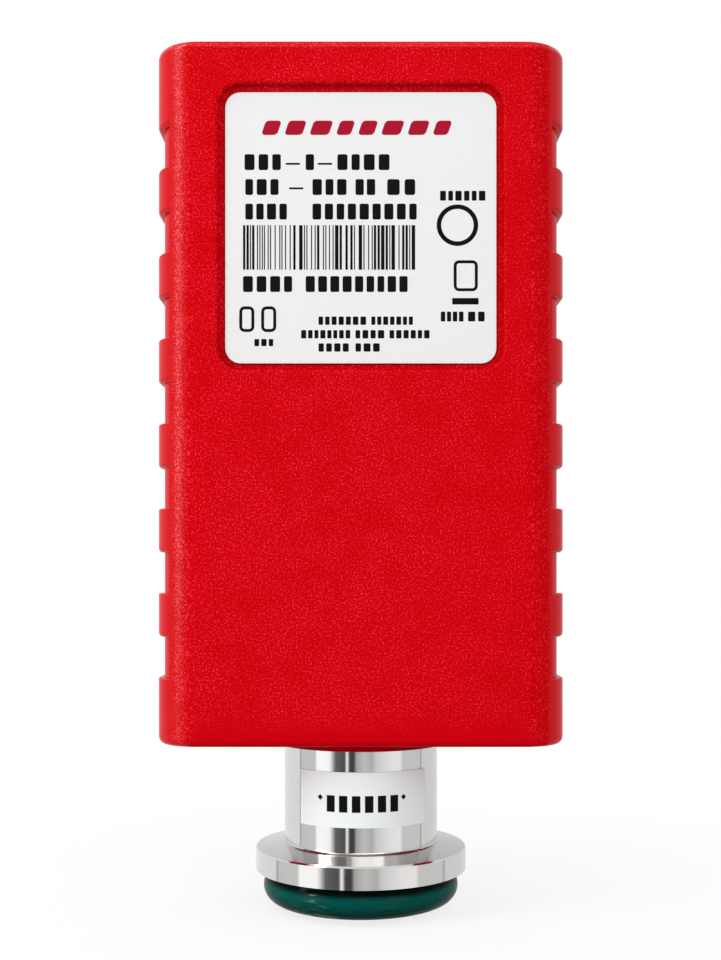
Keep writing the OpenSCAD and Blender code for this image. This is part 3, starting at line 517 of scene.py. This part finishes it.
def print_frame(name, outer, inner, material):
    """A closed band between two outlines of equally many points: four rings (outer and inner, at the
    paper and at the ink's thickness), each joined to the next by quads."""
    points = outer.shape[1]
    steps = ((outer, 0.0), (outer, ink_thick), (inner, ink_thick), (inner, 0.0))
    rings = np.concatenate([on_label(line[..., 0], line[..., 1], height) for line, height in steps], axis=1)
    k = np.arange(points)
    n = (k + 1) % points
    ring = (np.arange(4) * points)[:, None]
    step = np.roll(ring, -1, axis=0)
    band = np.stack([ring + k, ring + n, step + n, step + k], axis=2).reshape(-1, 4)
    first = (np.arange(len(outer)) * 4 * points)[:, None, None]
    lay_ink(name, rings.reshape(-1, 3), (first + band).reshape(-1, 4).tolist(), material)


ring_mid = (12.8, 0.35)
ring_outer = 2.75
ring_inner = 2.15
around = np.linspace(0.0, 2 * np.pi, 72, endpoint=False)
circle = np.stack([np.cos(around), np.sin(around)], axis=1)[None]
print_frame("label_print_ring", circle * ring_outer + ring_mid, circle * ring_inner + ring_mid, black_ink)

frame_left = np.array([12.3, -16.1, -13.2])
frame_right = frame_left + [3.2, 2.0, 2.0]
frame_low = np.array([-8.4, -13.8, -13.8])
frame_high = frame_low + [4.1, 3.4, 3.4]
frame_corner = 0.7
line = 0.4
print_frame("label_print_frames",
            print_outline(frame_left, frame_right, frame_low, frame_high, frame_corner),
            print_outline(frame_left + line, frame_right - line, frame_low + line, frame_high - line,
                          frame_corner - line), black_ink)

# Neck strip: a slip of cooler white paper stuck round the front of the neck. Its print is a row of
# plain dark blocks between two small diamonds, and follows the curve of the steel.
dress(paper_finish("white_strip_paper", (0.87, 0.915, 0.925), (0.895, 0.94, 0.95)), "neck_label")
strip_face = 11.04


def on_neck(x, z, height):
    """A point of the neck strip: x is the arc length from the front, so the angle is x over the radius
    of the strip's face, and height is out of that face."""
    angle = x / strip_face
    radius = strip_face + height
    return np.stack([radius * np.sin(angle), -radius * np.cos(angle), z], axis=-1)


# A block's outline runs along its foot and back along its top, in slices that bend round the neck.
block_count = 6
block_left = np.linspace(-4.76, 4.1, block_count)[:, None]
block_wide = 1.16
block_low = 9.55
block_tall = 2.25
slices = np.linspace(0.0, 1.0, 13)
across = np.concatenate([slices, slices[::-1]])
up = np.repeat([0.0, 1.0], len(slices))
blocks = np.stack([block_left + block_wide * across,
                   np.tile(block_low + block_tall * up, (block_count, 1))], axis=2)
print_film("neck_print_blocks", blocks, on_neck, black_ink)

# A diamond's outline starts at its foot and runs round by the right: its x swings 0, 1, 0, -1 in
# straight steps, and its z does the same a quarter later.
diamond_mid = np.array([-5.77, 6.13])[:, None]
diamond_z = 11.45
diamond_half = 0.4
swing = np.concatenate([np.linspace(0, 1, 7)[:-1], np.linspace(1, 0, 7)[:-1]])
across = np.concatenate([swing, -swing])
up = np.roll(across, len(across) // 4)
diamonds = np.stack([diamond_mid + diamond_half * across,
                     np.tile(diamond_z + diamond_half * up, (2, 1))], axis=2)
print_film("neck_print_diamonds", diamonds, on_neck, black_ink)

# Studio: a pale floor that shows white to the eye and keeps a faint shadow, a tall softbox on the left,
# a wide one above the front, and a surround of pale and dark panels that the turned steel mirrors as
# bands.
floor_z = cad_box[0].z - 2e-5
floor_half = 6.0
floor_mesh = bpy.data.meshes.new("studio_floor")
floor_corners = [(a * floor_half, b * floor_half, floor_z) for a, b in ((-1, -1), (1, -1), (1, 1), (-1, 1))]
floor_mesh.from_pydata(floor_corners, [], [(0, 1, 2, 3)])
floor = bpy.data.objects.new("studio_floor", floor_mesh)
scene.collection.objects.link(floor)
floor.visible_glossy = False
floor_white, place = start_finish("pale_floor")
x, y, z = place.axes()
seen = place.node("ShaderNodeLightPath", {}, {}, "Is Camera Ray")
far = ((x * x + y * y) ** 0.5).rise(20.0, 110.0)
matt = place.node("ShaderNodeBsdfDiffuse", {}, {"Color": seen.tint((0.5, 0.5, 0.5), (0.9, 0.9, 0.9))})
white = place.node("ShaderNodeEmission", {}, {"Color": (1.0, 1.0, 1.0, 1.0), "Strength": 1.0})
shown = place.node("ShaderNodeMixShader", {}, {0: seen * (far * 0.2 + 0.8), 1: matt, 2: white})
place.node("ShaderNodeOutputMaterial", {}, {"Surface": shown})
floor_mesh.materials.append(floor_white)

# Each edge of a panel has its bearing in degrees, from the viewer's side and to the right, and its
# brightness. Colours are written at half their brightness, because the surround's strength is 2.
panels = [(-180, 0.95), (-104, 0.95), (-103, 0.45), (-101.5, 0.45), (-100, 0.74), (-71, 0.77), (-69, 1.33),
          (-47, 1.3), (-42, 0.6), (-38, 0.17), (-22, 0.09), (-21.2, 1.3), (-18.8, 1.3), (-18, 0.07),
          (-9, 0.07), (-7, 0.5), (5, 0.72), (17, 0.58), (22, 0.82), (34, 0.95), (46, 1.06), (62, 1.08),
          (64, 0.76), (99, 0.76), (100.5, 0.4), (102, 0.4), (103, 0.82), (180, 0.82)]
strength = 2.0
studio = bpy.data.worlds.new("studio_surround")
scene.world = studio
studio.use_nodes = True
studio.node_tree.nodes.clear()
sky = Wire(studio.node_tree)
dx, dy, dz = sky.node("ShaderNodeTexCoord", {}, {}, "Generated").axes()
bearing = sky.sum("ARCTAN2", dx, 0.0 - dy) / (2 * np.pi) + 0.5
stops = [(degrees / 360 + 0.5, (brightness / strength,) * 3) for degrees, brightness in panels]
bands = sky.node("ShaderNodeValToRGB", {"stops": stops}, {"Fac": bearing}, "Color")
level = abs(dz).rise(0.45, 0.75).tint(bands, (0.45, 0.45, 0.45))
view = sky.node("ShaderNodeLightPath", {}, {}, "Is Camera Ray")
surround = sky.node("ShaderNodeBackground", {}, {
    "Color": view.tint(level, (0.5, 0.5, 0.5)), "Strength": strength})
sky.node("ShaderNodeOutputWorld", {}, {"Surface": surround})

gauge_mid = np.array([0.0, 0.0, 0.07])
for name, width, height, watts, spot in (("key_softbox", 0.16, 0.7, 1.75, (-0.43, -0.25, 0.28)),
                                         ("fill_softbox", 0.5, 0.35, 0.82, (0.1, -0.5, 0.36))):
    light = bpy.data.lights.new(name, "AREA")
    light.shape = "RECTANGLE"
    light.size = width
    light.size_y = height
    light.energy = watts
    lamp = bpy.data.objects.new(name, light)
    aim = gauge_mid - spot
    tip = np.arccos(-aim[2] / np.linalg.norm(aim))
    turn = np.arctan2(aim[1], aim[0]) - np.pi / 2
    lamp.location = spot
    lamp.rotation_euler = (tip, 0.0, turn)
    scene.collection.objects.link(lamp)
